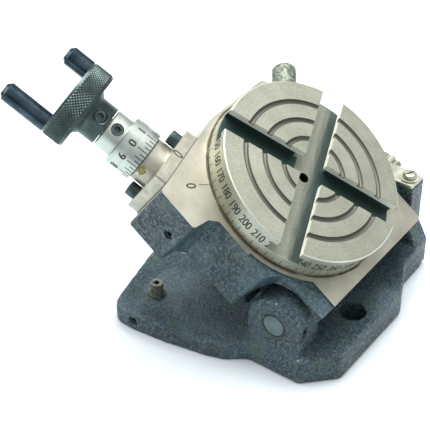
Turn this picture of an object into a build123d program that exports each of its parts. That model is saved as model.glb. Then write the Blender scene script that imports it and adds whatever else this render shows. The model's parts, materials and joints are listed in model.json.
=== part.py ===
from build123d import *
from math import atan, cos, degrees, pi, radians, sin, sqrt, tan
import os

# A small tilting rotary table, in millimetres. The base stands on Z = 0, the tilt axis runs along Y above the
# origin, and +X points to the hinged end. The swivel body is drawn level in its own frame and then tilted.

# Driving dimensions
TABLE_R = 40.0
TABLE_H = 13.0
SEAT_GAP = 0.15
TILT_AT_REST = 35.7
PIVOT_H = 24.0
PIVOT_OUT = 35.5
PIVOT_BELOW_SEAT = 18.0
PIN_R = 5.0
RUN_CLEAR = 0.04
FIT_CLEAR = 0.02

# Swivel body
BODY_H = 28.0
BODY_RIGHT = 45.1
BODY_LEFT = -41.7
BODY_FAR = 41.0
TURRET_NEAR = -43.0
WEB_NEAR = -36.0
NECK_NEAR = -27.5
BLOCK_NEAR = -54.5
BLOCK_RIGHT = -12.8
SEAT_R = 42.5
SHOULDER_DROP = 0.8
RECESS_R = 16.1
CAVITY_R = 25.0
CAVITY_H = 18.0
SPINDLE_R = 10.0
NUT_POCKET_R = 15.0
NUT_POCKET_H = 4.0
KNUCKLE_R = BODY_RIGHT - PIVOT_OUT

# Table slots, grooves and centre hole
SLOT_ANGLE = 25.0
SLOT_W = 10.0
SLOT_NECK_H = 2.8
SLOT_WIDE_W = 14.5
SLOT_DEPTH = 7.5
GROOVE_RADII = (13.7, 22.1, 30.45)
GROOVE_R = 1.15
CENTRE_HOLE_R = 2.0

# Worm drive: one thread start into a wheel of 36 teeth
TEETH = 36
MODULE = 1.25
WORM_PITCH_R = 5.0
WHEEL_PITCH_R = MODULE * TEETH / 2
CENTRE_DISTANCE = WHEEL_PITCH_R + WORM_PITCH_R
AXIAL_PITCH = pi * MODULE
LEAD_ANGLE = degrees(atan(AXIAL_PITCH / (2 * pi * WORM_PITCH_R)))
PRESSURE_ANGLE = 20.0
WORM_OUT_R = 6.0
WORM_ROOT_R = 3.6
WORM_HALF_TOOTH = 0.8
WHEEL_OUT_R = 23.5
WHEEL_ROOT_R = 21.1
WHEEL_HALF_GAP = 1.19
WHEEL_W = 8.0
WORM_SKEW = 13.4
WORM_DROP = 12.8

# Stations along the worm axis, measured outward from the mesh point
THREAD_TURNS = 5
THREAD_RELIEF_IN = 12.5
TUNNEL_IN = -11.0
TAIL_IN = -18.5
TAIL_BUSH_OUT = TUNNEL_IN - 0.6
FLANGE_IN, FLANGE_OUT = 43.0, 48.0
HUB_OUT = 54.5
DIAL_IN, DIAL_STEP, DIAL_OUT = 54.8, 66.0, 73.2
HUB_WHEEL_IN, RIM_IN, RIM_OUT = 73.6, 82.4, 91.8
SHAFT_OUT = 89.5
SLEEVE_IN = 15.0
SHAFT_R = 4.0
TUNNEL_R = 7.0
BUSH_R = 5.5
TAIL_R = 3.0
TAIL_BUSH_R = 4.5
FLANGE_T, FLANGE_N = 28.0, 25.6
HUB_R = 9.3
DIAL_R = 10.6
DIAL_SMALL_R = 8.25
WHEEL_HUB_R = 8.25
WHEEL_FLARE = 1.9
RIM_R = 17.0
CRANK_R = 4.0
CRANK_OFFSET = 12.8
CRANK_LONG, CRANK_SHORT = 20.8, 10.6
CRANK_ANGLE = -39.5
CRANK_SPIGOT_R = 3.03
SET_SCREW_ANGLE = 64.0
SET_SCREW_R = 2.5
DIAL_SCREW_AT = 69.4
WHEEL_SCREW_AT = 77.6
FLANGE_SCREWS = [(-9.4, 8.4), (9.4, -8.4)]
FLANGE_SCREW_R = 2.0
FLANGE_SCREW_HEAD, FLANGE_SCREW_HEAD_H = 6.0, 4.2

# Base
PLATE_H = 8.0
PAD_H = 13.6
BASE_NEAR = -42.6
BASE_FAR = 54.0
PAD_LEFT = -12.4
EAR_R = 12.4
NEAR_EAR_IN = -28.2
FAR_EAR_IN = 43.8
FAR_EAR_LEFT, FAR_EAR_RIGHT, FAR_EAR_FOOT = -24.0, 12.0, 16.8
FAR_EAR_TOP = 43.5
CLAMP_R = 14.6
CLAMP_ANGLE = 172.0
CLAMP_SLOT_HALF = 3.3
MOUNT_HOLE_R = 5.5
MOUNT_HOLE_X = (-70.3, 14.7)
MOUNT_HOLE_Y = -6.0
STOP_X, STOP_Y = -60.2, -38.9
LOCK_ANGLE = 132.0
LOCK_FACE_R = 46.0
LOCK_DROP = 5.8
SLEEVE_LOCK = (-17.7, -14.3)
INDEX_SCREW = (7.4, 49.2)
INDEX_SCREW_R = 1.5
INDEX_PLATE_H = 1.2
INDEX_WASHER_H = 0.6
PIVOT_GRUB_Y = (-38.0, 49.0)
GRUB_R = 2.0
STOP_LOCK_Z = 4.2
CAST_CORNER_R = 4.0
CAST_EDGE_R = 1.2
BODY_CORNER_R = 1.5
CLAMP_STUD_R = 3.0

# Screws through the worm wheel and the spindle flange into the table
WHEEL_SCREW_R = 1.75
WHEEL_SCREW_CIRCLE_R = 13.0
WHEEL_SCREW_HEAD_R = 3.1
WHEEL_SCREW_SINK = 2.2

TOP_Z = SEAT_GAP + TABLE_H


def box(x0, x1, y0, y1, z0, z1):
    return Pos((x0 + x1) / 2, (y0 + y1) / 2, (z0 + z1) / 2) * Box(x1 - x0, y1 - y0, z1 - z0)


def rod(r, z0, z1, x=0.0, y=0.0):
    return Pos(x, y, (z0 + z1) / 2) * Cylinder(r, z1 - z0)


def rod_y(r, y0, y1, x=0.0, z=0.0):
    return Pos(x, (y0 + y1) / 2, z) * Rot(90, 0, 0) * Cylinder(r, y1 - y0)


def prism(points, z0, z1):
    return Pos(0, 0, z0) * extrude(make_face(Polyline(*points, close=True)), z1 - z0)


def cast_prism(points, z0, z1, corner_r, edge_r):
    """A cast block on a plan outline, with rounded corners and a rounded top edge."""
    block = prism(points, z0, z1)
    block = fillet(block.edges().filter_by(Axis.Z), corner_r)
    return fillet(block.edges().group_by(Axis.Z)[-1], edge_r)


def tube(r_in, r_out, z0, z1):
    return rod(r_out, z0, z1) - rod(r_in, z0 - 1, z1 + 1)


def chamfered_rod(r, z0, z1, top=0.0, bottom=0.0):
    """A rod whose top and bottom edges are turned off at 45 degrees."""
    section = [(0, z0), (r - bottom, z0), (r, z0 + bottom), (r, z1 - top), (r - top, z1), (0, z1)]
    outline = [p for i, p in enumerate(section) if p != section[i - 1]]
    return revolve(Plane.XZ * make_face(Polyline(*outline, close=True)), Axis.Z)


def hex_hole(across, depth):
    """A hexagon socket cutter sunk below Z = 0."""
    return Pos(0, 0, -depth) * extrude(RegularPolygon(across / sqrt(3), 6), depth + 1)


def cap_screw(d, length, head_d, head_h, across):
    """A socket-head cap screw whose head sits on Z = 0, with its shank below."""
    head = chamfered_rod(head_d / 2, 0, head_h, top=0.4)
    return head + rod(d / 2, -length, 0) - Pos(0, 0, head_h) * hex_hole(across, head_h * 0.55)


def set_screw(d, length, across):
    """A socket set screw whose socket end is at Z = 0, with a cone point."""
    return chamfered_rod(d / 2, -length, 0, top=0.3, bottom=0.8) - hex_hole(across, length * 0.4)


def on_axis(point, direction):
    """The location whose local Z runs along direction from point."""
    return Plane(origin=point, z_dir=direction).location


BODY = Pos(0, 0, PIVOT_H) * Rot(0, TILT_AT_REST, 0) * Pos(-PIVOT_OUT, 0, PIVOT_BELOW_SEAT)
W_DIR = (cos(radians(WORM_SKEW)), sin(radians(WORM_SKEW)))
T_DIR = (-W_DIR[1], W_DIR[0])
WORM = Plane(
    origin=(-CENTRE_DISTANCE * T_DIR[0], -CENTRE_DISTANCE * T_DIR[1], -WORM_DROP),
    x_dir=(-T_DIR[0], -T_DIR[1], 0),
    z_dir=(-W_DIR[0], -W_DIR[1], 0),
).location


# ---- base ----


def base_outline():
    """Plan of the plate, anticlockwise from above: the near side is waved, the wing lies under the worm."""
    near = [(24.8, -30.0), (12.6, BASE_NEAR), (-11.5, BASE_NEAR), (-19.0, -48.4), (-26.0, -50.6)]
    wing = [(-45.0, -54.3), (-61.0, -55.9), (-69.0, -55.2), (-72.2, -51.0), (-79.3, -19.0), (-79.3, 19.0)]
    wing += [(-72.2, 51.0)]
    far = [(-69.0, BASE_FAR), (12.6, BASE_FAR), (FAR_EAR_FOOT, 50.4), (17.2, 34.0), (25.2, 17.0)]
    return near + wing + far


def pad_outline():
    near = [(24.8, -30.0), (12.6, BASE_NEAR), (PAD_LEFT, BASE_NEAR), (PAD_LEFT, BASE_FAR)]
    far = [(12.6, BASE_FAR), (FAR_EAR_FOOT, 50.4), (17.2, 34.0), (25.2, 17.0)]
    return near + far


def clamp_slot():
    """The arc slot that the clamp stud sweeps as the body tilts from 0 to 90 degrees."""
    spare = 3.0
    steps = 12
    start, end = CLAMP_ANGLE - 90 - spare, CLAMP_ANGLE + spare
    ring = rod_y(CLAMP_R + CLAMP_SLOT_HALF, FAR_EAR_IN - 1, BASE_FAR + 1)
    ring -= rod_y(CLAMP_R - CLAMP_SLOT_HALF, FAR_EAR_IN - 2, BASE_FAR + 2)
    angles = [radians(start + (end - start) * i / steps) for i in range(steps + 1)]
    far_r = 2 * CLAMP_R
    fan = make_face(Polyline((0, 0), *[(far_r * cos(a), far_r * sin(a)) for a in angles], close=True))
    sector = Pos(0, BASE_FAR + 3, 0) * Rot(90, 0, 0) * extrude(fan, BASE_FAR - FAR_EAR_IN + 6)
    slot = ring & sector
    for a in (angles[0], angles[-1]):
        slot += rod_y(CLAMP_SLOT_HALF, FAR_EAR_IN - 1, BASE_FAR + 1, CLAMP_R * cos(a), CLAMP_R * sin(a))
    return Pos(0, 0, PIVOT_H) * slot


def near_ear():
    ear = rod_y(EAR_R, BASE_NEAR, NEAR_EAR_IN, z=PIVOT_H)
    ear += box(-EAR_R, EAR_R, BASE_NEAR, NEAR_EAR_IN, 0, PIVOT_H)
    return fillet(ear.faces().sort_by(Axis.Y)[0].edges(), CAST_EDGE_R)


def far_ear():
    side = [
        (FAR_EAR_LEFT, PLATE_H - 1), (FAR_EAR_FOOT, 1.0), (FAR_EAR_FOOT, PAD_H), (FAR_EAR_RIGHT, PAD_H + 9),
        (FAR_EAR_RIGHT, FAR_EAR_TOP), (FAR_EAR_LEFT + 6, FAR_EAR_TOP), (FAR_EAR_LEFT, FAR_EAR_TOP - 6),
    ]
    wall = extrude(Plane.XZ * make_face(Polyline(*side, close=True)), FAR_EAR_IN - BASE_FAR)
    return Pos(0, FAR_EAR_IN, 0) * wall


def base_casting():
    part = cast_prism(base_outline(), 0, PLATE_H, CAST_CORNER_R, CAST_EDGE_R)
    part += cast_prism(pad_outline(), 0, PAD_H, CAST_CORNER_R, CAST_EDGE_R)
    part += near_ear() + far_ear()
    part -= rod_y(KNUCKLE_R + 1.0, NEAR_EAR_IN, FAR_EAR_IN, z=PIVOT_H)
    part -= rod_y(PIN_R + FIT_CLEAR, BASE_NEAR - 1, BASE_FAR + 1, z=PIVOT_H)
    part -= clamp_slot()
    for x in MOUNT_HOLE_X:
        part -= rod(MOUNT_HOLE_R, -1, PAD_H + 1, x, MOUNT_HOLE_Y)
    part -= rod(2.5 + FIT_CLEAR, -1, PLATE_H + 1, STOP_X, STOP_Y)
    part -= rod_y(GRUB_R + FIT_CLEAR, -60, STOP_Y - 2.4, STOP_X, STOP_LOCK_Z)
    part -= rod(INDEX_SCREW_R + FIT_CLEAR, FAR_EAR_TOP - 3.9, FAR_EAR_TOP + 1, *INDEX_SCREW)
    for y in PIVOT_GRUB_Y:
        part -= Pos(PIN_R - 1, y, PIVOT_H) * Rot(0, 90, 0) * Cylinder(
            GRUB_R + FIT_CLEAR, 20, align=(Align.CENTER, Align.CENTER, Align.MIN)
        )
    return part


def near_pivot_pin():
    pin = rod_y(PIN_R, BASE_NEAR + 0.5, -15.0, z=PIVOT_H)
    return chamfer(pin.edges(), 0.5)


def far_pivot_pin():
    pin = rod_y(PIN_R, 28.0, BASE_FAR - 0.5, z=PIVOT_H)
    return chamfer(pin.edges(), 0.5)


def pivot_grub_screws():
    reach = {PIVOT_GRUB_Y[0]: EAR_R - 0.6, PIVOT_GRUB_Y[1]: FAR_EAR_RIGHT - 0.6}
    screws = [
        Pos(x, y, PIVOT_H) * Rot(0, 90, 0) * set_screw(2 * GRUB_R, x - PIN_R - FIT_CLEAR, 2.0)
        for y, x in reach.items()
    ]
    return screws[0] + screws[1]


def stop_screw():
    stop_top = PIVOT_H + PIVOT_BELOW_SEAT - BODY_H - 0.1
    screw = rod(2.5, 0.5, PLATE_H) + rod(3.7, PLATE_H, PLATE_H + 1.2)
    screw += rod(3.1, PLATE_H + 1.2, PLATE_H + 2.6) + chamfered_rod(2.75, PLATE_H + 2.6, stop_top, top=0.3)
    return Pos(STOP_X, STOP_Y, 0) * (screw - Pos(0, 0, stop_top) * hex_hole(2.5, 2.2))


def stop_lock_screw():
    face_y = -54.2
    length = STOP_Y - 2.6 - face_y
    return on_axis((STOP_X, face_y, STOP_LOCK_Z), (0, -1, 0)) * set_screw(2 * GRUB_R, length, 2.0)


def tilt_index_plate():
    top = FAR_EAR_TOP + INDEX_PLATE_H
    left, right = FAR_EAR_LEFT + 7, FAR_EAR_RIGHT - 0.3
    plate = box(left, right, FAR_EAR_IN + 0.1, BASE_FAR - 0.1, FAR_EAR_TOP, top)
    plate = fillet(plate.edges().filter_by(Axis.Z), 1.0)
    return plate - rod(INDEX_SCREW_R + 0.2, FAR_EAR_TOP - 1, top + 1, *INDEX_SCREW)


def index_plate_washer():
    return Pos(*INDEX_SCREW, FAR_EAR_TOP + INDEX_PLATE_H) * tube(INDEX_SCREW_R + 0.2, 4.2, 0, INDEX_WASHER_H)


def index_plate_screw():
    head = rod(3.0, 0, 1.9)
    head = fillet(head.edges().group_by(Axis.Z)[-1], 1.1)
    screw = head + rod(INDEX_SCREW_R, -5.4, 0) - box(-4, 4, -0.45, 0.45, 0.9, 3)
    return Pos(*INDEX_SCREW, FAR_EAR_TOP + INDEX_PLATE_H + INDEX_WASHER_H) * Rot(0, 0, 60) * screw


# ---- swivel body ----


def body_outline():
    """Plan of the casting: the left end is set square to the worm, the rest square to the tilt axis."""
    oblique_near = ((-FLANGE_IN - W_DIR[1] * BLOCK_NEAR) / W_DIR[0], BLOCK_NEAR)
    oblique_far = (BODY_LEFT, (-FLANGE_IN - W_DIR[0] * BODY_LEFT) / W_DIR[1])
    lock = (cos(radians(LOCK_ANGLE)), sin(radians(LOCK_ANGLE)))
    corner_far = ((LOCK_FACE_R - lock[1] * BODY_FAR) / lock[0], BODY_FAR)
    corner_left = (BODY_LEFT, (LOCK_FACE_R - lock[0] * BODY_LEFT) / lock[1])
    near = [oblique_near, (BLOCK_RIGHT, BLOCK_NEAR), (-11.6, -46.5), (-8.5, TURRET_NEAR), (18.4, TURRET_NEAR)]
    right = [(23.0, WEB_NEAR), (BODY_RIGHT, WEB_NEAR), (BODY_RIGHT, BODY_FAR)]
    return near + right + [corner_far, corner_left, oblique_far]


def lock_bore(r, r0, r1):
    a = radians(LOCK_ANGLE)
    place = on_axis((r0 * cos(a), r0 * sin(a), -LOCK_DROP), (cos(a), sin(a), 0))
    return place * Cylinder(r, r1 - r0, align=(Align.CENTER, Align.CENTER, Align.MIN))


def swivel_body():
    part = prism(body_outline(), -BODY_H, 0)
    part = fillet(part.edges().filter_by(Axis.Z), BODY_CORNER_R)
    part -= box(8, 60, -60, NECK_NEAR, -SHOULDER_DROP, 1) - rod(SEAT_R, -2, 2)
    part += rod_y(9.0, BODY_FAR - 1, FAR_EAR_IN - 0.5, PIVOT_OUT, -PIVOT_BELOW_SEAT)
    part -= box(PIVOT_OUT, 60, -60, 60, -40, -PIVOT_BELOW_SEAT) - rod_y(
        KNUCKLE_R, -61, 61, PIVOT_OUT, -PIVOT_BELOW_SEAT
    )
    part -= rod_y(RECESS_R, -60, NEAR_EAR_IN + 0.7, PIVOT_OUT, -PIVOT_BELOW_SEAT)
    part -= rod_y(PIN_R + RUN_CLEAR, -60, -14.0, PIVOT_OUT, -PIVOT_BELOW_SEAT)
    part -= rod_y(PIN_R + RUN_CLEAR, 27.0, 60, PIVOT_OUT, -PIVOT_BELOW_SEAT)
    part -= rod(CAVITY_R, -CAVITY_H, 1)
    part -= rod(SPINDLE_R + RUN_CLEAR, -BODY_H - 1, 1)
    part -= rod(NUT_POCKET_R, -BODY_H - 1, -BODY_H + NUT_POCKET_H)
    part -= WORM * rod(TUNNEL_R + FIT_CLEAR, TUNNEL_IN, FLANGE_IN + 2)
    part -= WORM * rod(TAIL_BUSH_R + FIT_CLEAR, TAIL_IN - 1.0, TUNNEL_IN + 1)
    for x, y in FLANGE_SCREWS:
        part -= WORM * rod(FLANGE_SCREW_R + FIT_CLEAR, FLANGE_IN - 11, FLANGE_IN + 2, x, y)
    part -= lock_bore(4.0 + FIT_CLEAR, 31.0, 60.0)
    part -= lock_bore(3.0 + RUN_CLEAR, CAVITY_R - 3, 32.0)
    part -= rod_y(CLAMP_STUD_R + FIT_CLEAR, BODY_FAR - 12, BODY_FAR + 4, *clamp_in_body())
    part -= rod_y(GRUB_R + FIT_CLEAR, BLOCK_NEAR - 1, -37.0, *SLEEVE_LOCK)
    return part


def clamp_in_body():
    """X and Z of the clamp stud in the body's frame."""
    a = radians(CLAMP_ANGLE)
    return PIVOT_OUT + CLAMP_R * cos(a), -PIVOT_BELOW_SEAT + CLAMP_R * sin(a)


def worm_flange():
    plate = box(-FLANGE_T / 2, FLANGE_T / 2, -FLANGE_N / 2, FLANGE_N / 2, FLANGE_IN, FLANGE_OUT)
    plate = chamfer(plate.edges().filter_by(Axis.Z), 0.6)
    part = plate + chamfered_rod(HUB_R, FLANGE_OUT, HUB_OUT, top=0.3) + rod(TUNNEL_R, SLEEVE_IN, FLANGE_IN)
    part -= rod(BUSH_R + FIT_CLEAR, SLEEVE_IN - 1, HUB_OUT + 1)
    for x, y in FLANGE_SCREWS:
        part -= rod(FLANGE_SCREW_R + 0.2, FLANGE_IN - 1, FLANGE_OUT + 1, x, y)
    return part


def flange_screws():
    screw = cap_screw(2 * FLANGE_SCREW_R, 13.0, FLANGE_SCREW_HEAD, FLANGE_SCREW_HEAD_H, 3.0)
    first, second = [Pos(x, y, FLANGE_OUT) * screw for x, y in FLANGE_SCREWS]
    return first + second


def worm_bush():
    return tube(SHAFT_R + RUN_CLEAR, BUSH_R, SLEEVE_IN, HUB_OUT)


def tail_bush():
    return tube(TAIL_R + RUN_CLEAR, TAIL_BUSH_R, TAIL_IN, TAIL_BUSH_OUT)


def sleeve_lock_screw():
    x, z = SLEEVE_LOCK
    return on_axis((x, BLOCK_NEAR + 0.8, z), (0, -1, 0)) * set_screw(2 * GRUB_R, 13.0, 2.0)


def lock_shoe():
    return lock_bore(3.0, 16.4, 31.4)


def table_lock_screw():
    tip_r = 61.0
    a = radians(LOCK_ANGLE)
    screw = rod(4.0, 31.6, LOCK_FACE_R + 1.0) + rod(5.2, LOCK_FACE_R + 0.4, tip_r)
    screw = fillet(screw.edges().filter_by(GeomType.CIRCLE).group_by(Axis.Z)[-1], 2.2)
    screw -= box(-6, 6, -0.7, 0.7, tip_r - 2.4, tip_r + 1)
    return on_axis((0, 0, -LOCK_DROP), (cos(a), sin(a), 0)) * screw


def tilt_clamp_stud():
    x, z = clamp_in_body()
    return rod_y(CLAMP_STUD_R, BODY_FAR - 11, BASE_FAR + 9.0, x, z)


def tilt_clamp_washer():
    x, z = clamp_in_body()
    hole = rod_y(CLAMP_STUD_R + 0.15, BASE_FAR, BASE_FAR + 2, x, z)
    return rod_y(6.5, BASE_FAR + 0.1, BASE_FAR + 1.3, x, z) - hole


def tilt_clamp_nut():
    x, z = clamp_in_body()
    collar, grip, bore = BASE_FAR + 1.4, BASE_FAR + 3.0, CLAMP_STUD_R + 0.05
    nut = rod_y(6.0, collar, grip, x, z) + rod_y(8.0, grip, BASE_FAR + 9.6, x, z)
    flutes = 12
    for i in range(flutes):
        a = 2 * pi * i / flutes
        nut -= rod_y(1.1, grip - 0.1, BASE_FAR + 12, x + 8.3 * cos(a), z + 8.3 * sin(a))
    return nut - rod_y(bore, collar - 1, BASE_FAR + 12, x, z)


# ---- rotary table ----


def table_disc():
    part = chamfered_rod(TABLE_R, SEAT_GAP, TOP_Z, top=0.4, bottom=0.3)
    reach = TABLE_R + 2
    for angle in (SLOT_ANGLE, SLOT_ANGLE + 90):
        neck = box(-reach, reach, -SLOT_W / 2, SLOT_W / 2, TOP_Z - SLOT_DEPTH, TOP_Z + 1)
        wide = box(-reach, reach, -SLOT_WIDE_W / 2, SLOT_WIDE_W / 2, TOP_Z - SLOT_DEPTH, TOP_Z - SLOT_NECK_H)
        part -= Rot(0, 0, angle) * (neck + wide)
    for r in GROOVE_RADII:
        part -= Pos(0, 0, TOP_Z) * Torus(r, GROOVE_R)
    part -= rod(CENTRE_HOLE_R, 0, TOP_Z)
    for x, y in wheel_screw_places():
        part -= rod(WHEEL_SCREW_R + FIT_CLEAR, SEAT_GAP - 1, SEAT_GAP + 4, x, y)
    return part


def wheel_screw_places():
    angles = [radians(SLOT_ANGLE + 45 + 90 * i) for i in range(4)]
    return [(WHEEL_SCREW_CIRCLE_R * cos(a), WHEEL_SCREW_CIRCLE_R * sin(a)) for a in angles]


def spindle():
    wheel_top = -WORM_DROP + WHEEL_W / 2
    part = rod(SPINDLE_R, -BODY_H + NUT_POCKET_H, SEAT_GAP) + rod(16.0, wheel_top, SEAT_GAP)
    part += rod(6.0, -BODY_H + 0.4, -BODY_H + NUT_POCKET_H)
    for x, y in wheel_screw_places():
        part -= rod(WHEEL_SCREW_R + 0.15, wheel_top - 1, SEAT_GAP + 1, x, y)
    return part - rod(CENTRE_HOLE_R, -BODY_H - 1, SEAT_GAP + 1)


def worm_wheel():
    wheel = rod(WHEEL_OUT_R, -WHEEL_W / 2, WHEEL_W / 2) - rod(SPINDLE_R + FIT_CLEAR, -WHEEL_W, WHEEL_W)
    slope = tan(radians(PRESSURE_ANGLE))
    r_in, r_out = WHEEL_ROOT_R, WHEEL_OUT_R + 1
    half_in = WHEEL_HALF_GAP - (WHEEL_PITCH_R - r_in) * slope
    half_out = WHEEL_HALF_GAP + (r_out - WHEEL_PITCH_R) * slope
    gap = prism([(r_in, -half_in), (r_out, -half_out), (r_out, half_out), (r_in, half_in)], -WHEEL_W, WHEEL_W)
    gap = Rot(-LEAD_ANGLE, 0, 0) * gap
    mesh_angle = WORM_SKEW - 90
    wheel -= [Rot(0, 0, mesh_angle + 360 * i / TEETH) * gap for i in range(TEETH)]
    for x, y in wheel_screw_places():
        sink = rod(WHEEL_SCREW_HEAD_R, -WHEEL_W, WHEEL_SCREW_SINK - WHEEL_W / 2, x, y)
        wheel -= rod(WHEEL_SCREW_R + 0.15, -WHEEL_W, WHEEL_W, x, y) + sink
    return Pos(0, 0, -WORM_DROP) * wheel


def wheel_screws():
    seat = WHEEL_SCREW_SINK - WORM_DROP - WHEEL_W / 2
    screw = Rot(180, 0, 0) * cap_screw(2 * WHEEL_SCREW_R, SEAT_GAP + 3.5 - seat, 5.8, 2.0, 2.5)
    screws = [Pos(x, y, seat) * screw for x, y in wheel_screw_places()]
    return screws[0] + screws[1] + screws[2] + screws[3]


def thrust_washer():
    top = -BODY_H + NUT_POCKET_H - 0.05
    return tube(6.05, 13.5, top - 1.0, top)


def spindle_nut():
    top = -BODY_H + NUT_POCKET_H - 1.1
    bottom = -BODY_H + 0.4
    nut = tube(6.02, 12.0, bottom, top)
    for angle in (0, 90):
        slot = box(-14, 14, -1.5, 1.5, bottom - 1, bottom + 1.4) - rod(8.5, bottom - 2, bottom + 2)
        nut -= Rot(0, 0, angle) * slot
    return nut


# ---- worm shaft, dial and handwheel ----


def worm_thread():
    """One start, right-handed, with its crest in the wheel's gap at the mesh point."""
    slope = tan(radians(PRESSURE_ANGLE))
    half_root = WORM_HALF_TOOTH + (WORM_PITCH_R - WORM_ROOT_R + 0.2) * slope
    half_crest = WORM_HALF_TOOTH - (WORM_OUT_R - WORM_PITCH_R) * slope
    length = THREAD_TURNS * AXIAL_PITCH
    path = Pos(0, 0, -length / 2) * Helix(AXIAL_PITCH, length, WORM_ROOT_R)
    section = Plane(origin=path @ 0, x_dir=(1, 0, 0), z_dir=path % 0)
    tooth = [(-0.2, -half_root), (WORM_OUT_R - WORM_ROOT_R, -half_crest)]
    tooth += [(WORM_OUT_R - WORM_ROOT_R, half_crest), (-0.2, half_root)]
    return sweep(section * make_face(Polyline(*tooth, close=True)), path=path, is_frenet=True)


def worm_shaft():
    part = rod(WORM_ROOT_R, TUNNEL_IN + 0.3, SLEEVE_IN - 0.3) + worm_thread()
    part += rod(6.2, THREAD_RELIEF_IN, SLEEVE_IN - 0.1) + rod(TAIL_R, TAIL_IN + 0.3, TUNNEL_IN + 0.3)
    return part + chamfered_rod(SHAFT_R, SLEEVE_IN - 0.1, SHAFT_OUT, top=0.5)


def radial(angle, r, z):
    """The location on a round part's surface, with its local Z pointing straight out."""
    a = radians(angle)
    return on_axis((r * cos(a), r * sin(a), z), (cos(a), sin(a), 0))


def collar_set_screw(surface_r, z):
    """A set screw just below a collar's surface, with its point on the shaft."""
    sunk = 0.35
    length = surface_r - sunk - SHAFT_R - 0.1
    return radial(SET_SCREW_ANGLE, surface_r - sunk, z) * set_screw(2 * SET_SCREW_R, length, 2.5)


def dial_collar():
    part = chamfered_rod(DIAL_R, DIAL_IN, DIAL_STEP, top=0.5)
    part += chamfered_rod(DIAL_SMALL_R, DIAL_STEP, DIAL_OUT, top=0.5)
    part -= rod(SHAFT_R + RUN_CLEAR, DIAL_IN - 1, DIAL_OUT + 1)
    return part - radial(SET_SCREW_ANGLE, 0, DIAL_SCREW_AT) * rod(SET_SCREW_R + FIT_CLEAR, 1, 14)


def dial_set_screw():
    return collar_set_screw(DIAL_SMALL_R, DIAL_SCREW_AT)


def handwheel():
    part = chamfered_rod(WHEEL_HUB_R, HUB_WHEEL_IN, RIM_IN + 1, bottom=0.3)
    part += Pos(0, 0, RIM_IN - WHEEL_FLARE / 2) * Cone(WHEEL_HUB_R, WHEEL_HUB_R + WHEEL_FLARE, WHEEL_FLARE)
    part += chamfered_rod(RIM_R, RIM_IN, RIM_OUT, top=0.7, bottom=0.7)
    part -= rod(SHAFT_R + FIT_CLEAR, HUB_WHEEL_IN - 1, RIM_OUT + 1)
    part -= radial(SET_SCREW_ANGLE, 0, WHEEL_SCREW_AT) * rod(SET_SCREW_R + FIT_CLEAR, 1, 14)
    x, y = crank_place()
    for side in (1, -1):
        part -= rod(CRANK_SPIGOT_R + FIT_CLEAR, RIM_IN + 1.4, RIM_OUT + 1, side * x, side * y)
    return part


def handwheel_set_screw():
    return collar_set_screw(WHEEL_HUB_R, WHEEL_SCREW_AT)


def crank_place():
    """X and Y of the long crank pin; the short one is opposite."""
    a = radians(CRANK_ANGLE)
    return CRANK_OFFSET * cos(a), CRANK_OFFSET * sin(a)


def crank_pin(side, length):
    x, y = crank_place()
    pin = rod(CRANK_SPIGOT_R, RIM_IN + 1.6, RIM_OUT + 0.1)
    pin += chamfered_rod(CRANK_R, RIM_OUT, RIM_OUT + length, top=1.5)
    return Pos(side * x, side * y, 0) * pin


# ---- assembly ----

BASE_PARTS = {
    "base_casting": base_casting,
    "near_pivot_pin": near_pivot_pin,
    "far_pivot_pin": far_pivot_pin,
    "pivot_grub_screws": pivot_grub_screws,
    "stop_screw": stop_screw,
    "stop_lock_screw": stop_lock_screw,
    "tilt_index_plate": tilt_index_plate,
    "index_plate_washer": index_plate_washer,
    "index_plate_screw": index_plate_screw,
}
BODY_PARTS = {
    "swivel_body": swivel_body,
    "lock_shoe": lock_shoe,
    "table_lock_screw": table_lock_screw,
    "sleeve_lock_screw": sleeve_lock_screw,
    "tilt_clamp_stud": tilt_clamp_stud,
    "tilt_clamp_washer": tilt_clamp_washer,
    "tilt_clamp_nut": tilt_clamp_nut,
    "table_disc": table_disc,
    "spindle": spindle,
    "worm_wheel": worm_wheel,
    "wheel_screws": wheel_screws,
    "thrust_washer": thrust_washer,
    "spindle_nut": spindle_nut,
}
WORM_PARTS = {
    "worm_flange": worm_flange,
    "flange_screws": flange_screws,
    "worm_bush": worm_bush,
    "tail_bush": tail_bush,
    "worm_shaft": worm_shaft,
    "dial_collar": dial_collar,
    "dial_set_screw": dial_set_screw,
    "handwheel": handwheel,
    "handwheel_set_screw": handwheel_set_screw,
    "long_crank_pin": lambda: crank_pin(1, CRANK_LONG),
    "short_crank_pin": lambda: crank_pin(-1, CRANK_SHORT),
}


def main():
    os.makedirs("parts", exist_ok=True)
    for parts, place in ((BASE_PARTS, Location()), (BODY_PARTS, BODY), (WORM_PARTS, BODY * WORM)):
        for name, make in parts.items():
            export_step(place * make(), f"parts/{name}.step")


main()
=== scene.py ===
import json
import math
from functools import partial

import bmesh
import bpy
import numpy as np
from mathutils import Matrix, Vector
from mathutils import noise as lumpiness


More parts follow.
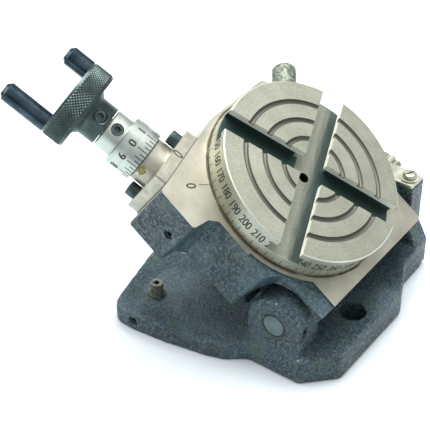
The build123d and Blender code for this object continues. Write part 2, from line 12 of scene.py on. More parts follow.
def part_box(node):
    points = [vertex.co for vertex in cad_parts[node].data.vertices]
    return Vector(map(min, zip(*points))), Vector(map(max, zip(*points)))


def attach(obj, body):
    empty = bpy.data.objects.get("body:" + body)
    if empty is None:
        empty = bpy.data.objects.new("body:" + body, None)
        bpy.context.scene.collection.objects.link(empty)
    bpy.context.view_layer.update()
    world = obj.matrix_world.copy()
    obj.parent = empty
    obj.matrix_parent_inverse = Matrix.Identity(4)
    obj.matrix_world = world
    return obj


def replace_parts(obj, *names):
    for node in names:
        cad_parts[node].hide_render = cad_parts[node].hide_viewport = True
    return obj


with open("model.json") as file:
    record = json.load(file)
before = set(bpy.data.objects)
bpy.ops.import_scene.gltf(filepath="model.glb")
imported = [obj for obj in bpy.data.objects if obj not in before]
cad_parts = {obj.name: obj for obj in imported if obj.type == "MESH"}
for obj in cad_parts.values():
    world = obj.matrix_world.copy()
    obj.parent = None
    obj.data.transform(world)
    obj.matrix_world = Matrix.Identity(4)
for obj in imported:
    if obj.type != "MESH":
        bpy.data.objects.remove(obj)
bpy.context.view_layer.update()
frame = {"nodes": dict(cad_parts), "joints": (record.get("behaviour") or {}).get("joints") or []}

MM = 0.001
nodes = frame["nodes"]
joints = {j["name"]: j for j in frame["joints"]}

# Camera: place in metres, view direction, and lens and sensor in millimetres
CAMERA_AT = Vector((0.1921, -0.3469, 0.3543))
CAMERA_LOOK = Vector((-0.4643, 0.6432, -0.6089))
LENS = 104.98
SENSOR = 36.0


# ---- local frames ----

def local_frame(joint, y_axis):
    """The matrix whose Z is a joint's axis and whose Y is the given direction."""
    z = Vector(joint["axis"]).normalized()
    y = (y_axis - y_axis.dot(z) * z).normalized()
    x = y.cross(z)
    place = Matrix((x, y, z)).transposed().to_4x4()
    place.translation = Vector(joint["pos_m"])
    return place


TABLE = local_frame(joints["table_turn"], Vector((0, 1, 0)))
TABLE_NORMAL = TABLE.col[2].to_3d()
WORM = local_frame(joints["worm_turn"], TABLE_NORMAL)


def extent(node, place):
    """Lowest and highest corner of a node in a local frame."""
    back = place.inverted()
    points = [back @ v.co for v in nodes[node].data.vertices]
    return (Vector([min(p[k] for p in points) for k in range(3)]),
            Vector([max(p[k] for p in points) for k in range(3)]))


# Sizes read from the frame's nodes: the table in its own frame, the rest along the worm's axis
table_lo, table_hi = extent("table_disc", TABLE)
TABLE_R, TABLE_FOOT, TABLE_TOP = table_hi.y, table_lo.z, table_hi.z
dial_lo, dial_hi = extent("dial_collar", WORM)
DIAL_R, DIAL_IN = dial_hi.x, dial_lo.z
wheel_hi = extent("handwheel", WORM)[1]
RIM_R, RIM_OUT = wheel_hi.x, wheel_hi.z
flange_hi = extent("worm_flange", WORM)[1]
FLANGE_SIDE, FLANGE_TOP = flange_hi.x, flange_hi.y

# Sizes inside a node, as part.py has them
FLANGE_IN = 43.0 * MM
HUB_R = 9.3 * MM
SLOT_NECK_W, SLOT_WIDE_W, SLOT_LIP, SLOT_DEPTH = 10.0 * MM, 14.5 * MM, 2.8 * MM, 7.5 * MM
SLOT_ANGLE = math.radians(25.0)
GROOVE_RADII = (13.7 * MM, 22.1 * MM, 30.45 * MM)

# Engraved marks lie this far off the face, on lines this wide; a 0 has its outline grown by STROKE_GROWTH
MARK_LIFT = 0.03 * MM
LINE_W = 0.3 * MM
STROKE_GROWTH = 0.10 * MM


# ---- materials ----

MATH, RANGE, NOISE = "ShaderNodeMath", "ShaderNodeMapRange", "ShaderNodeTexNoise"
MIX, BUMP, XYZ = "ShaderNodeMix", "ShaderNodeBump", "ShaderNodeCombineXYZ"


def linear(hex_colour):
    """An sRGB hex colour as linear RGBA."""
    values = [int(hex_colour[i:i + 2], 16) / 255 for i in (1, 3, 5)]
    return (*[v / 12.92 if v <= 0.04045 else ((v + 0.055) / 1.055) ** 2.4 for v in values], 1.0)


def add(tree, kind, *in_order, **named):
    """Adds a node. Values go to its live inputs in order, a Capitalised name to the input of that name and
    any other name to its setting. A value is a constant, a hex colour, a socket, or a node, whose first live
    output is used."""
    node = tree.nodes.new(kind)
    for key in [key for key in named if key[0].islower()]:
        setattr(node, key, named.pop(key))
    live = [socket for socket in node.inputs if socket.enabled]
    given = list(zip(live, in_order))
    for key, value in named.items():
        given.append((next(s for s in live if s.name == key.replace("_", " ")), value))
    for socket, value in given:
        if isinstance(value, bpy.types.Node):
            value = next(out for out in value.outputs if out.enabled)
        if isinstance(value, bpy.types.NodeSocket):
            tree.links.new(value, socket)
        elif isinstance(value, str) and value.startswith("#"):
            socket.default_value = linear(value)
        elif value is not None:
            socket.default_value = value
    return node


def new_material(name, **constants):
    """A material with one shader; constants go on the shader's own sockets."""
    mat = bpy.data.materials.new(name)
    mat.use_nodes = True
    tree = mat.node_tree
    tree.nodes.clear()
    shader = add(tree, "ShaderNodeBsdfPrincipled", **constants)
    add(tree, "ShaderNodeOutputMaterial", shader)
    return mat, partial(add, tree), shader


def finish_shader(shader, **sockets):
    """Links each node's first live output to the shader's input of that name."""
    for name, value in sockets.items():
        out = next(o for o in value.outputs if o.enabled)
        shader.id_data.links.new(out, shader.inputs[name.replace("_", " ")])


def local_point(node, place):
    """Object coordinates seen from a local frame."""
    return node("ShaderNodeMapping", node("ShaderNodeTexCoord").outputs["Object"], Location=place.translation,
                Rotation=place.to_euler(), vector_type="TEXTURE")


def per_mm(size_mm):
    """Noise scale whose lumps are about size_mm across."""
    return 1 / (size_mm * MM)


def enamel_on_cast_iron(name, spots, machined=()):
    """Enamel brushed over sand-cast iron: the sand leaves millimetre pits, so the semi-gloss dark paint
    glitters in specks. spots are (x, y, z, radius) in mm where it is chipped to bare iron; machined lists the
    (point, normal) planes that were ground after painting and are bare."""
    mat, node, shader = new_material(name)
    sand_depth, pit_depth, drip_depth, flat_by = 0.16 * MM, 2.2 * MM, 0.7 * MM, 0.05 * MM
    point = node("ShaderNodeTexCoord").outputs["Object"]
    facing = node("ShaderNodeVectorTransform", node("ShaderNodeNewGeometry").outputs["True Normal"],
                  vector_type="NORMAL", convert_from="WORLD", convert_to="OBJECT")
    up = node(RANGE, node("ShaderNodeSeparateXYZ", facing).outputs["Z"], 0.3, 0.9, 0.6, 1.0)
    tone = node(NOISE, point, per_mm(13.0), 3.0)
    pits = node(NOISE, point, per_mm(1.15), 4.0, 0.6)
    zone = node(RANGE, node(NOISE, point, per_mm(19.0), 2.0), 0.36, 0.54, 0.4, 1.0)
    sand = node(NOISE, point, per_mm(0.6), 3.0, 0.6)
    patch = node(NOISE, point, per_mm(5.0), 3.0)
    # Dark blue-grey enamel with a little green in patches; pits painted near black (painted shade), crests
    # pale (painted highlight)
    colour = node(MIX, node(RANGE, tone, 0.3, 0.7), A="#293843", B="#37505A", data_type="RGBA")
    pit_shade = node(MATH, node(RANGE, pits, 0.51, 0.42, 0.0, 1.0), zone, operation="MULTIPLY")
    colour = node(MIX, pit_shade, A=colour, B="#10181C", data_type="RGBA")
    crest_highlight = node(RANGE, pits, 0.53, 0.62, 0.0, 0.6)
    colour = node(MIX, crest_highlight, A=colour, B="#60787E", data_type="RGBA")
    colour = node(MIX, node(RANGE, patch, 0.50, 0.66, 0.0, 0.6), A=colour, B="#3F5A48", data_type="RGBA")
    rough = node(RANGE, pits, 0.3, 0.7, 0.52, 0.30)
    skin = node(BUMP, Height=sand, Distance=sand_depth, Strength=up)
    deep = node(MATH, up, zone, operation="MULTIPLY")
    skin = node(BUMP, Height=pits, Distance=pit_depth, Strength=deep, Normal=skin)
    skin = node(BUMP, Height=patch, Distance=drip_depth, Strength=0.5, Normal=skin)
    # What faces up is painted a little paler: painted light from above
    colour = node(MIX, node(RANGE, up, 0.6, 1.0, 0.0, 0.13), A=colour, B="#6F8B96", data_type="RGBA")
    ragged = node(RANGE, pits, 0.3, 0.7, -0.5, 0.5)
    bare = node("ShaderNodeValue")
    for x, y, z, r in spots:
        away = node("ShaderNodeVectorMath", point, (x * MM, y * MM, z * MM), operation="DISTANCE")
        reach = node(MATH, node(RANGE, away.outputs["Value"], 0.0, r * MM), ragged, operation="ADD")
        bare = node(MATH, bare, node(RANGE, reach, 0.55, 0.45, 0.0, 1.0), operation="MAXIMUM")
    colour = node(MIX, bare, A=colour, B="#B4BAB4", data_type="RGBA")
    cut = node("ShaderNodeValue")
    for at, normal in machined:
        offset = node("ShaderNodeVectorMath", point, at, operation="SUBTRACT")
        height = node("ShaderNodeVectorMath", offset, normal, operation="DOT_PRODUCT").outputs["Value"]
        aligned = node("ShaderNodeVectorMath", facing, normal, operation="DOT_PRODUCT").outputs["Value"]
        one = node(MATH, node(MATH, height, 0.0, flat_by, operation="COMPARE"),
                   node(RANGE, aligned, 0.9, 0.95), operation="MULTIPLY")
        cut = node(MATH, cut, one, operation="MAXIMUM")
    # Grinding marks are drawn out along the table's X; cloudy patches tell warm light steel from duller steel
    flat = local_point(node, TABLE)
    streaks = node(NOISE, node("ShaderNodeMapping", flat, Scale=(0.06, 1.0, 1.0)), per_mm(0.35), 2.0)
    cloud = node(NOISE, flat, per_mm(16.0), 3.0)
    ground = node(MIX, node(RANGE, cloud, 0.3, 0.7), A="#A6A394", B="#C8C6B6", data_type="RGBA")
    ground = node(MIX, node(RANGE, streaks, 0.35, 0.65, 0.0, 0.28), A=ground, B="#918E82", data_type="RGBA")
    finish_shader(shader,
                  Base_Color=node(MIX, cut, A=colour, B=ground, data_type="RGBA"),
                  Metallic=node(MATH, node(MATH, bare, cut, operation="MAXIMUM"), 0.85, operation="MULTIPLY"),
                  Roughness=node(MIX, cut, rough, 0.42),
                  Normal=node(MIX, cut, A=skin, B=node(BUMP, Height=streaks, Distance=0.012 * MM),
                              data_type="VECTOR"))
    return mat


def turned_metal(name, place, dark, light, rough, ring, metallic=0.9):
    """Metal turned on a lathe: fine rings round the axis give a satin sheen. They are drawn 0.3 mm apart,
    coarser than real ones, so that they show."""
    mat, node, shader = new_material(name, Metallic=metallic)
    local = local_point(node, place)
    parts = node("ShaderNodeSeparateXYZ", local)
    flat = node(XYZ, parts.outputs["X"], parts.outputs["Y"])
    radius = node("ShaderNodeVectorMath", flat, operation="LENGTH").outputs["Value"]
    rings = node(NOISE, node(XYZ, radius, parts.outputs["Z"]), per_mm(0.3), 2.0)
    cloud = node(NOISE, local, per_mm(9.0), 3.0)
    colour = node(MIX, node(RANGE, cloud, 0.3, 0.7), A=dark, B=light, data_type="RGBA")
    colour = node(MIX, node(RANGE, rings, 0.35, 0.65, 0.0, 0.25), A=colour, B=ring, data_type="RGBA")
    finish_shader(shader, Base_Color=colour,
                  Roughness=node(RANGE, cloud, 0.3, 0.7, rough - 0.04, rough + 0.07),
                  Normal=node(BUMP, Height=rings, Distance=0.012 * MM))
    return mat


def table_finish(name, place):
    """Steel faced on a lathe: a satin face with fine flecks. Painted shade darkens the grooves, the centre
    bore and the undercut of the slots, and painted light brightens the slots' lip walls."""
    mat, node, shader = new_material(name)
    lip_centre, lip_half = TABLE_TOP - SLOT_LIP / 2, SLOT_LIP / 2 - 0.07 * MM
    undercut_centre, undercut_half = TABLE_TOP - 5.25 * MM, 2.5 * MM
    undercut_reach = SLOT_WIDE_W / 2 + 0.25 * MM
    groove_half, corner_w, bore_r = 1.2 * MM, 0.4 * MM, 2.2 * MM
    local = local_point(node, place)
    x, y, z = node("ShaderNodeSeparateXYZ", local).outputs
    flat = node(XYZ, x, y)
    radius = node("ShaderNodeVectorMath", flat, operation="LENGTH").outputs["Value"]
    rings = node(NOISE, node(XYZ, radius, z), per_mm(0.25), 2.0)
    cloud = node(NOISE, local, per_mm(12.0), 3.0)
    fleck = node(NOISE, local, per_mm(0.5), 3.0, 0.6)
    colour = node(MIX, node(RANGE, cloud, 0.3, 0.7), A="#A6A898", B="#BABCAC", data_type="RGBA")
    colour = node(MIX, node(RANGE, fleck, 0.44, 0.66, 0.0, 0.42), A=colour, B="#747568", data_type="RGBA")
    colour = node(MIX, node(RANGE, rings, 0.4, 0.65, 0.0, 0.15), A=colour, B="#6C6D64", data_type="RGBA")
    turned = node("ShaderNodeVectorRotate", flat, Angle=-SLOT_ANGLE, rotation_type="Z_AXIS")
    across_second, across_first, _ = node("ShaderNodeSeparateXYZ", turned).outputs
    within = node(MATH, radius, TABLE_R - 0.3 * MM, operation="LESS_THAN")
    # The lip walls of the slots are painted bright and less metallic: painted light
    lip_light = node(MATH, z, lip_centre, lip_half, operation="COMPARE")
    lip_light = node(MATH, within, lip_light, operation="MULTIPLY")
    colour = node(MIX, node(MATH, lip_light, 0.9, operation="MULTIPLY"), A=colour, B="#E4E5D8", data_type="RGBA")
    undercut = node(MATH, z, undercut_centre, undercut_half, operation="COMPARE")
    undercut = node(MATH, within, undercut, operation="MULTIPLY")
    # The undercut is painted greyer: painted shade
    undercut_shade = node(MATH, undercut, 0.5, operation="MULTIPLY")
    colour = node(MIX, undercut_shade, A=colour, B="#747D72", data_type="RGBA")
    # Painted shade fills the undercut of the first slot, and one side of the second's in streaks along it
    past_neck = node(RANGE, node(MATH, across_second, operation="ABSOLUTE"),
                     SLOT_NECK_W / 2 - 0.1 * MM, SLOT_NECK_W / 2 + 0.3 * MM)
    first = node(MATH, across_first, 0.0, undercut_reach, operation="COMPARE")
    first = node(MATH, first, past_neck, operation="MULTIPLY")
    streaks = node(NOISE, node("ShaderNodeMapping", turned, Scale=(1.0, 0.12, 1.0)), per_mm(1.2), 3.0)
    side = node(MATH, across_second, node(RANGE, streaks, 0.3, 0.7, -0.9 * MM, 0.9 * MM), operation="ADD")
    dark = node(MATH, first, node(RANGE, side, 0.6 * MM, 4.6 * MM, 0.0, 0.88), operation="MAXIMUM")
    dark = node(MATH, dark, undercut, operation="MULTIPLY")
    colour = node(MIX, dark, A=colour, B="#2C3F3C", data_type="RGBA")
    # The grooves are painted dark from just below the face down: painted shade
    groove = node("ShaderNodeValue")
    for r in GROOVE_RADII:
        one = node(MATH, radius, r, groove_half, operation="COMPARE")
        groove = node(MATH, groove, one, operation="MAXIMUM")
    groove = node(MATH, groove, node(RANGE, z, TABLE_TOP - 0.2 * MM, TABLE_TOP - 0.04 * MM, 1.0, 0.0),
                  operation="MULTIPLY")
    groove = node(MATH, groove, node(MATH, z, TABLE_TOP - 0.7 * MM, 0.7 * MM, operation="COMPARE"),
                  operation="MULTIPLY")
    dull = node(MATH, node(MATH, groove, dark, operation="MAXIMUM"), lip_light, operation="MAXIMUM")
    # The broken corner of the rim catches the light
    corner = node(MATH, node(MATH, radius, TABLE_R - corner_w, operation="GREATER_THAN"),
                  node(MATH, z, TABLE_TOP - corner_w, operation="GREATER_THAN"), operation="MULTIPLY")
    corner = node(MATH, corner, 0.45, operation="MULTIPLY")
    colour = node(MIX, corner, A=colour, B="#F4F4EA", data_type="RGBA")
    # The centre bore is painted near black: painted shade
    bore = node(MATH, radius, bore_r, operation="LESS_THAN")
    colour = node(MIX, node(MATH, bore, 0.9, operation="MULTIPLY"), A=colour, B="#15130F", data_type="RGBA")
    finish_shader(shader,
                  Base_Color=node(MIX, node(MATH, groove, 0.92, operation="MULTIPLY"), A=colour, B="#2F2D22",
                                  data_type="RGBA"),
                  Metallic=node(RANGE, dull, 0.0, 1.0, 0.9, 0.25),
                  Roughness=node(RANGE, fleck, 0.3, 0.7, 0.40, 0.50),
                  Normal=node(BUMP, Height=fleck, Distance=0.03 * MM,
                              Normal=node(BUMP, Height=rings, Distance=0.010 * MM)))
    return mat


def plain_metal(name, dark, light, rough, metallic=1.0, patch_mm=4.0, grain=0.05):
    """A small machined or plated piece: faint patches, and a grain that only changes the sheen."""
    mat, node, shader = new_material(name, Metallic=metallic)
    point = node("ShaderNodeTexCoord").outputs["Object"]
    patch = node(NOISE, point, per_mm(patch_mm), 3.0)
    fine = node(NOISE, point, per_mm(0.6), 3.0)
    finish_shader(shader,
                  Base_Color=node(MIX, node(RANGE, patch, 0.35, 0.65), A=dark, B=light, data_type="RGBA"),
                  Roughness=node(RANGE, fine, 0.3, 0.7, rough - grain, rough + grain))
    return mat


def smeared(name, dark, light, rough):
    """Wax, oil or grease: not a metal, uneven where it is worn or thick."""
    mat, node, shader = new_material(name, Roughness=rough)
    worn = node(NOISE, node("ShaderNodeTexCoord").outputs["Object"], per_mm(0.8), 3.0)
    finish_shader(shader,
                  Base_Color=node(MIX, node(RANGE, worn, 0.35, 0.7), A=dark, B=light, data_type="RGBA"))
    return mat


seat_plane = (TABLE.translation, TABLE_NORMAL)
flange_seat = (WORM @ Vector((0, 0, FLANGE_IN)), WORM.col[2].to_3d())

# Where the casting's paint is knocked off at its corners: x, y, z and radius in mm
CASTING_CHIPS = [(12.0, -42.5, 12.2, 1.0), (-9.0, -42.3, 33.0, 0.8), (1.0, -42.3, 36.3, 0.9),
                 (6.5, -42.0, 35.0, 0.7), (-77.5, -20.0, 7.5, 0.8)]

casting_paint = enamel_on_cast_iron("enamel on sand-cast iron, base", CASTING_CHIPS)
body_paint = enamel_on_cast_iron("enamel on sand-cast iron, ground top", [], [seat_plane, flange_seat])
table_steel = table_finish("steel, face-turned", TABLE)
# Satin chrome: the coldest and brightest metal, with soft streaks along the light
dial_chrome = turned_metal("satin chrome, turned", WORM, "#B4BDB6", "#CBD3CB", 0.32, "#838D88", 0.9)
# Ground and left bare: an even, warm grey sheen
flange_steel = plain_metal("steel, surface-ground", "#A3A193", "#BBB9AA", 0.40, 0.9)
# Paint wiped over the pin's end leaves it half metal, green-grey and dull
pin_steel = plain_metal("steel, drawn and painted over", "#4A5F60", "#62766F", 0.45, 0.3)
# Rough from the lathe and stained: blotches of light and dark
lock_steel = plain_metal("steel, rough-turned", "#454B41", "#868C7F", 0.55, 0.5, 1.2)
# Zinc plate: pale, a little yellow, and glossier than bare steel
zinc = plain_metal("steel, zinc-plated", "#9A9A8B", "#BCBCAD", 0.38)
# Bronze: brown-gold, for the bearings and the wheel inside
bronze = plain_metal("bronze, machined", "#9A7440", "#B68C50", 0.4)
# Oiled black oxide: green-black, with a soft sheen that picks out the diamonds of the rim
black_wheel = plain_metal("steel, black-oxided and oiled", "#384544", "#4A5856", 0.38, 0.75)
# Black oxide on small screws: a dark grey sheen on the heads above black sockets
black_screw = plain_metal("alloy steel, black-oxided", "#344142", "#526160", 0.42, 0.7)
# Polished, then blued: blue-black with sharp bright streaks along the pins
blued_pin = plain_metal("steel, polished and blued", "#2C3A43", "#43535C", 0.20, 0.95, 6.0, 0.02)
# Wax rubbed into the marks: matt brown-black
mark_black = smeared("engraving, black wax", "#2A261F", "#453E33", 0.6)
# Oil that crept out of the seat and dried: a brown line with some gloss
dried_oil = smeared("oil, dried brown", "#2A2113", "#5E4725", 0.4)
# Old grease: yellow-green and wet-looking
grease = smeared("grease, yellow-green", "#6E6428", "#A8974A", 0.3)

FINISHES = {
    casting_paint: ["base_casting"],
    body_paint: ["swivel_body"],
    table_steel: ["table_disc"],
    dial_chrome: ["dial_collar"],
    flange_steel: ["worm_flange", "worm_shaft", "spindle", "thrust_washer", "spindle_nut"],
    pin_steel: ["near_pivot_pin", "far_pivot_pin"],
    lock_steel: ["table_lock_screw", "stop_screw"],
    zinc: ["tilt_index_plate", "index_plate_washer", "index_plate_screw", "tilt_clamp_stud",
           "tilt_clamp_washer", "tilt_clamp_nut"],
    bronze: ["worm_bush", "tail_bush", "worm_wheel", "lock_shoe"],
    black_screw: ["pivot_grub_screws", "stop_lock_screw", "flange_screws", "sleeve_lock_screw",
                  "wheel_screws", "dial_set_screw", "handwheel_set_screw"],
    black_wheel: ["handwheel"],
    blued_pin: ["long_crank_pin", "short_crank_pin"],
}
for material, names in FINISHES.items():
    for name in names:
        nodes[name].data.materials.clear()
        nodes[name].data.materials.append(material)


# ---- geometry node trees ----

def new_tree(name, **inputs):
    """A geometry node tree; each input is named with its default, an int, a float or None for a material."""
    tree = bpy.data.node_groups.new(name, "GeometryNodeTree")
    kinds = {int: "NodeSocketInt", float: "NodeSocketFloat", type(None): "NodeSocketMaterial"}
    for label, default in inputs.items():
        socket = tree.interface.new_socket(label.replace("_", " "), in_out="INPUT",
                                           socket_type=kinds[type(default)])
        if default is not None:
            socket.default_value = default
    tree.interface.new_socket("Geometry", in_out="OUTPUT", socket_type="NodeSocketGeometry")
    return tree, partial(add, tree), add(tree, "NodeGroupInput").outputs


def end_tree(node, geometry, finish):
    """Makes the instances real and sets their finish."""
    solid = node("GeometryNodeRealizeInstances", geometry)
    add(solid.id_data, "NodeGroupOutput", node("GeometryNodeSetMaterial", solid, Material=finish))


def on_cylinder(node, radius, angle, height):
    """A position from cylinder coordinates."""
    return node(XYZ, node(MATH, radius, node(MATH, angle, operation="COSINE"), operation="MULTIPLY"),
                node(MATH, radius, node(MATH, angle, operation="SINE"), operation="MULTIPLY"), height)


def graduation_tree():
    """Thin bars round a cylinder, in three lengths."""
    tree, node, given = new_tree("graduations", Count=72, Radius=0.04, Foot=0.0, Long=0.002, Medium=0.0015,
                                 Short=0.001, Long_every=2, Medium_every=1, Start=0.0, Width=0.0002,
                                 Proud=MARK_LIFT, Finish=None)
    index = node("GeometryNodeInputIndex")
    turn = node(MATH, node(MATH, index, given["Count"], operation="DIVIDE"), 2 * math.pi, given["Start"],
                operation="MULTIPLY_ADD")
    off_long = node(MATH, index, given["Long every"], operation="MODULO")
    off_medium = node(MATH, index, given["Medium every"], operation="MODULO")
    less = node("GeometryNodeSwitch", node(MATH, off_medium, 0.5, operation="LESS_THAN"), given["Short"],
                given["Medium"], input_type="FLOAT")
    length = node("GeometryNodeSwitch", node(MATH, off_long, 0.5, operation="LESS_THAN"), less,
                  given["Long"], input_type="FLOAT")
    middle = node(MATH, length, 0.5, given["Foot"], operation="MULTIPLY_ADD")
    points = node("GeometryNodePoints", given["Count"], on_cylinder(node, given["Radius"], turn, middle))
    size = node(XYZ, node(MATH, given["Proud"], 2.0, operation="MULTIPLY"), given["Width"], length)
    bars = node("GeometryNodeInstanceOnPoints", points, Instance=node("GeometryNodeMeshCube", (1, 1, 1)),
                Rotation=node(XYZ, Z=turn), Scale=size)
    end_tree(node, bars, given["Finish"])
    return tree


def numeral_tree():
    """Numbers set round a cylinder, each a step up from the last. Bold widens every stroke by that much."""
    tree, node, given = new_tree("numerals", Count=36, Step=10, Radius=0.04, Foot=0.0, Height=0.002,
                                 Squeeze=0.8, Start=0.0, Upright=1.0, Proud=0.00004, Bold=0.0001, Finish=None)
    first = node("GeometryNodeRepeatInput")
    last = node("GeometryNodeRepeatOutput")
    first.pair_with_output(last)
    tree.links.new(given["Count"], first.inputs["Iterations"])
    turn = first.outputs["Iteration"]
    number = node("FunctionNodeFloatToInt", node(MATH, turn, given["Step"], operation="MULTIPLY"))
    text = node("GeometryNodeStringToCurves", node("FunctionNodeValueToString", number, data_type="INT"),
                Size=given["Height"], Character_Spacing=0.95, align_x="CENTER", align_y="BOTTOM_BASELINE")
    face = node("GeometryNodeFillCurve", node("GeometryNodeRealizeInstances", text))
    width = node(MATH, given["Squeeze"], given["Upright"], operation="MULTIPLY")
    scale = node(XYZ, width, given["Upright"], 1.0)
    share = node(MATH, turn, given["Count"], operation="DIVIDE")
    share = node(MATH, share, 2 * math.pi, operation="MULTIPLY")
    along = node(MATH, share, given["Radius"], operation="MULTIPLY")
    joined = node("GeometryNodeJoinGeometry")
    tree.links.new(first.outputs["Geometry"], joined.inputs[0])
    for step in (-0.5, 0.5):
        shift = node(MATH, given["Bold"], step, along, operation="MULTIPLY_ADD")
        moved = node("GeometryNodeTransform", face, Scale=scale, Translation=node(XYZ, shift, given["Foot"]))
        tree.links.new(moved.outputs[0], joined.inputs[0])
    tree.links.new(joined.outputs[0], last.inputs["Geometry"])
    x, y, _ = node("ShaderNodeSeparateXYZ", node("GeometryNodeInputPosition")).outputs
    angle = node(MATH, node(MATH, x, given["Radius"], operation="DIVIDE"), given["Start"], operation="ADD")
    out = node(MATH, given["Radius"], given["Proud"], operation="ADD")
    wrapped = node("GeometryNodeSetPosition", last.outputs["Geometry"],
                   Position=on_cylinder(node, out, angle, y))
    end_tree(node, wrapped, given["Finish"])
    return tree


def knurl_tree():
    """Small pyramids packed corner to corner round a cylinder, as a diamond knurling tool leaves them."""
    tree, node, given = new_tree("diamond knurl", Around=96, Rows=9, Radius=0.0168, Foot=0.0, Depth=0.0002,
                                 Finish=None)
    index = node("GeometryNodeInputIndex")
    row = node(MATH, node(MATH, index, given["Around"], operation="DIVIDE"), operation="FLOOR")
    place = node(MATH, index, given["Around"], operation="MODULO")
    shifted = node(MATH, node(MATH, row, 2.0, operation="MODULO"), 0.5, place, operation="MULTIPLY_ADD")
    turn = node(MATH, shifted, given["Around"], operation="DIVIDE")
    turn = node(MATH, turn, 2 * math.pi, operation="MULTIPLY")
    half = node(MATH, given["Radius"], math.pi, operation="MULTIPLY")
    half = node(MATH, half, given["Around"], operation="DIVIDE")
    height = node(MATH, node(MATH, row, 1.0, operation="ADD"), half, given["Foot"], operation="MULTIPLY_ADD")
    points = node("GeometryNodePoints", node(MATH, given["Around"], given["Rows"], operation="MULTIPLY"),
                  on_cylinder(node, given["Radius"], turn, height))
    pyramid = node("GeometryNodeMeshCone", Vertices=4, Side_Segments=1, Radius_Top=0.0, Radius_Bottom=half,
                   Depth=given["Depth"], fill_type="NONE")
    placed = node("GeometryNodeInstanceOnPoints", points, Instance=pyramid.outputs["Mesh"],
                  Rotation=node(XYZ, 0.0, math.pi / 2, turn))
    end_tree(node, placed, given["Finish"])
    return tree


def bead_tree():
    """A thin bead of oil round a circle: a tube whose thickness wanders."""
    tree, node, given = new_tree("bead", Radius=0.04, Thickness=0.0002, Foot=0.0, Wander=0.6, Seed=3.0,
                                 Finish=None)
    circle = node("GeometryNodeCurvePrimitiveCircle", Resolution=240, Radius=given["Radius"])
    lumps = node(NOISE, node("GeometryNodeInputPosition"), W=given["Seed"], Scale=160.0, Detail=3.0,
                 noise_dimensions="4D")
    swell = node(RANGE, lumps, 0.35, 0.65, node(MATH, 1.0, given["Wander"], operation="SUBTRACT"),
                 node(MATH, 1.0, given["Wander"], operation="ADD"))
    thick = node(MATH, swell, given["Thickness"], operation="MULTIPLY")
    section = node("GeometryNodeCurvePrimitiveCircle", Resolution=8, Radius=1.0)
    tube = node("GeometryNodeCurveToMesh", circle, section, Scale=thick)
    raised = node("GeometryNodeTransform", tube, Translation=node(XYZ, Z=given["Foot"]))
    end_tree(node, raised, given["Finish"])
    return tree


def smear_tree():
    """Flattened blobs scattered over a patch of a cylinder."""
    tree, node, given = new_tree("smear", Count=14, Radius=0.0093, Middle=0.3, Spread=0.2, Foot=0.05,
                                 Width=0.002, Size=0.0006, Seed=5, Finish=None)
    spots = []
    for k, (reach, middle) in enumerate([("Spread", "Middle"), ("Width", "Foot")]):
        seed = node(MATH, given["Seed"], float(k), operation="ADD")
        any_way = node("FunctionNodeRandomValue", -1.0, 1.0, Seed=seed, data_type="FLOAT")
        spots.append(node(MATH, any_way, given[reach], given[middle], operation="MULTIPLY_ADD"))
    turn, height = spots
    points = node("GeometryNodePoints", given["Count"], on_cylinder(node, given["Radius"], turn, height))
    size = node("FunctionNodeRandomValue", 0.4, 1.0, Seed=given["Seed"], data_type="FLOAT")
    wide = node(MATH, size, given["Size"], operation="MULTIPLY")
    flat = node(MATH, wide, 0.4, operation="MULTIPLY")
    ball = node("GeometryNodeMeshIcoSphere", 1.0, 2)
    placed = node("GeometryNodeInstanceOnPoints", points, Instance=ball.outputs["Mesh"],
                  Rotation=node(XYZ, Z=turn), Scale=node(XYZ, flat, wide, wide))
    end_tree(node, placed, given["Finish"])
    return tree


def grown(name, tree, settings, place, body, finish):
    """Runs a tree with these inputs and keeps its mesh as a piece in the row's frame."""
    holder = bpy.data.objects.new(name + "_tree", bpy.data.meshes.new(name + "_tree"))
    bpy.context.scene.collection.objects.link(holder)
    modifier = holder.modifiers.new("tree", "NODES")
    modifier.node_group = tree
    for item in tree.interface.items_tree:
        if item.in_out == "INPUT":
            value = finish if item.name == "Finish" else settings.get(item.name, item.default_value)
            modifier[item.identifier] = value
    mesh = bpy.data.meshes.new_from_object(holder.evaluated_get(bpy.context.evaluated_depsgraph_get()))
    holder.modifiers.clear()
    bpy.data.objects.remove(holder)
    mesh.transform(place)
    return as_piece(name, mesh, body)


def as_piece(name, mesh, body, finish=None):
    """Links a mesh as a piece that rides a body. A finish, where one is given, replaces the mesh's own."""
    mesh.name = name
    if finish is not None:
        mesh.materials.clear()
        mesh.materials.append(finish)
    piece = bpy.data.objects.new(name, mesh)
    bpy.context.scene.collection.objects.link(piece)
    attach(piece, body)
    return piece


def engraved_zero(name, height, place, body, squeeze):
    """An engraved 0, centred on a place whose X runs along it and whose Z stands off the face."""
    curve = bpy.data.curves.new(name, "FONT")
    curve.body, curve.size, curve.offset = "0", height, STROKE_GROWTH
    curve.align_x, curve.align_y = "CENTER", "CENTER"
    holder = bpy.data.objects.new(name + "_text", curve)
    bpy.context.scene.collection.objects.link(holder)
    bpy.context.view_layer.update()
    mesh = bpy.data.meshes.new_from_object(holder.evaluated_get(bpy.context.evaluated_depsgraph_get()))
    bpy.data.objects.remove(holder)
    mesh.transform(place @ Matrix.Diagonal((squeeze, 1, 1, 1)))
    return as_piece(name, mesh, body, mark_black)


def line_mark(name, start, end, normal, body):
    """A straight engraved line between two points on a face, a hair above it."""
    lift = normal.normalized() * MARK_LIFT
    side = normal.cross(end - start).normalized() * LINE_W / 2
    mesh = bpy.data.meshes.new(name)
    mesh.from_pydata([start - side + lift, end - side + lift, end + side + lift, start + side + lift], [],
                     [(0, 1, 2, 3)])
    return as_piece(name, mesh, body, mark_black)


# ---- scales ----

GRADUATIONS, NUMERALS = graduation_tree(), numeral_tree()
KNURL, BEAD, SMEAR = knurl_tree(), bead_tree(), smear_tree()


